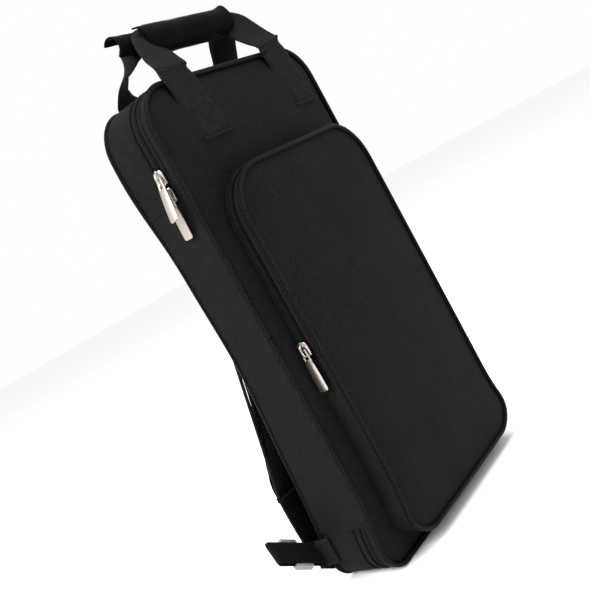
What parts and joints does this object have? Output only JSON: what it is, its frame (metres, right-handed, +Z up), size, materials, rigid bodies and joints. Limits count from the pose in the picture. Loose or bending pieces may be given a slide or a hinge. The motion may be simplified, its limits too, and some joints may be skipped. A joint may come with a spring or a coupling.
{
  "type": "drum stick bag",
  "caption": "Padded upright bag for drum sticks: opens like a book on a zipper, with stick sleeves inside, a zipped front pocket, a wrapped carry handle and padded shoulder straps.",
  "frame": {"origin": "middle of the flat base that the bag stands on, midway between the front and back panels", "axes": "+Z up along the height of the bag, +X to the right seen from the front, +Y to the back where the shoulder straps are"},
  "size_m": [0.372, 0.1075, 0.5263],
  "materials": {
    "outer_fabric": "woven nylon with a slight sheen",
    "foam": "closed-cell foam",
    "lining": "thin plain lining",
    "zip_tape": "flat woven tape",
    "zip_coil": "nylon coil",
    "piping": "twill binding",
    "webbing": "coarse woven webbing",
    "slider_metal": "satin pale nickel",
    "buckle_plastic": "moulded"
  },
  "bodies": {
    "shell": {"body_zip_coil": "zip_coil", "body_zip_tape": "zip_tape", "body_gusset": "outer_fabric", "hinge_gusset": "outer_fabric", "back_panel": "outer_fabric", "back_foam": "foam", "back_lining": "lining", "back_piping": "piping", "stick_sleeves": "lining", "sleeve_binding": "piping", "back_handle": "webbing", "strap_yoke": "webbing", "left_webbing": "webbing", "right_webbing": "webbing", "left_corner_tab": "webbing", "right_corner_tab": "webbing"},
    "cover": {"cover_panel": "outer_fabric", "cover_foam": "foam", "cover_lining": "lining", "cover_rim": "outer_fabric", "cover_zip_tape": "zip_tape", "cover_zip_coil": "zip_coil", "cover_piping": "piping", "pocket_gusset": "outer_fabric", "pocket_zip_tape": "zip_tape", "pocket_zip_coil": "zip_coil", "pocket_lower_panel": "outer_fabric", "pocket_lower_piping": "piping", "front_handle": "webbing", "grip_wrap": "outer_fabric"},
    "pocket_flap": {"flap_zip_coil": "zip_coil", "flap_zip_tape": "zip_tape", "flap_rim": "outer_fabric", "flap_panel": "outer_fabric", "flap_piping": "piping"},
    "grip_closure": {"grip_flap": "webbing"},
    "lower_zip_slider": {"lower_slider": "slider_metal"},
    "upper_zip_slider": {"upper_slider": "slider_metal"},
    "pocket_zip_slider": {"pocket_slider": "slider_metal"},
    "lower_zip_pull": {"lower_pull": "slider_metal"},
    "upper_zip_pull": {"upper_pull": "slider_metal"},
    "pocket_zip_pull": {"pocket_pull": "slider_metal"},
    "left_buckle": {"left_tri_glide": "buckle_plastic"},
    "right_buckle": {"right_tri_glide": "buckle_plastic"},
    "left_strap": {"left_strap_pad": "outer_fabric", "left_strap_tail": "outer_fabric"},
    "right_strap": {"right_strap_pad": "outer_fabric", "right_strap_tail": "outer_fabric"}
  },
  "joints": [
    {"name": "cover_open", "type": "hinge", "parent": "shell", "child": "cover", "pos_m": [-0.128, -0.031, 0.2325], "axis": [0, 0, -1], "range_deg": [0, 120]},
    {"name": "pocket_flap_open", "type": "hinge", "parent": "cover", "child": "pocket_flap", "pos_m": [0.005, -0.0552, 0.1962], "axis": [1, 0, 0], "range_deg": [0, 150]},
    {"name": "grip_flap_open", "type": "hinge", "parent": "cover", "child": "grip_closure", "pos_m": [0.013, 0, 0.5263], "axis": [-1, 0, 0], "range_deg": [0, 100]},
    {"name": "lower_slider_travel", "type": "slide", "parent": "shell", "child": "lower_zip_slider", "axis": [0, 0, 1], "range_m": [0, 0.012]},
    {"name": "upper_slider_travel", "type": "slide", "parent": "lower_zip_slider", "child": "upper_zip_slider", "axis": [0, 0, 1], "range_m": [0, 0.018]},
    {"name": "upper_pull_lift", "type": "hinge", "parent": "upper_zip_slider", "child": "upper_zip_pull", "pos_m": [-0.1319, -0.015, 0.391], "axis": [0, 1, 0], "range_deg": [0, 130]},
    {"name": "lower_pull_lift", "type": "hinge", "parent": "lower_zip_slider", "child": "lower_zip_pull", "pos_m": [-0.1319, -0.015, 0.375], "axis": [0, 1, 0], "range_deg": [0, 130]},
    {"name": "pocket_slider_travel", "type": "slide", "parent": "cover", "child": "pocket_zip_slider", "axis": [0, 0, 1], "range_m": [0, 0.08]},
    {"name": "pocket_pull_lift", "type": "hinge", "parent": "pocket_zip_slider", "child": "pocket_zip_pull", "pos_m": [-0.1089, -0.0416, 0.208], "axis": [0, 1, 0], "range_deg": [0, 150]},
    {"name": "left_strap_swing", "type": "hinge", "parent": "shell", "child": "left_strap", "pos_m": [-0.032, 0.0413, 0.396], "axis": [1, 0, 0], "range_deg": [0, 8]},
    {"name": "right_strap_swing", "type": "hinge", "parent": "shell", "child": "right_strap", "pos_m": [0.032, 0.0413, 0.396], "axis": [1, 0, 0], "range_deg": [0, 8]},
    {"name": "left_buckle_travel", "type": "slide", "parent": "shell", "child": "left_buckle", "axis": [-0.8192, 0, 0.5736], "range_m": [-0.012, 0.01]},
    {"name": "right_buckle_travel", "type": "slide", "parent": "shell", "child": "right_buckle", "axis": [0.8192, 0, 0.5736], "range_m": [-0.012, 0.01]}
  ],
  "couplings": [
    {"joint": "lower_pull_lift", "follows": "upper_pull_lift", "ratio": 1}
  ]
}
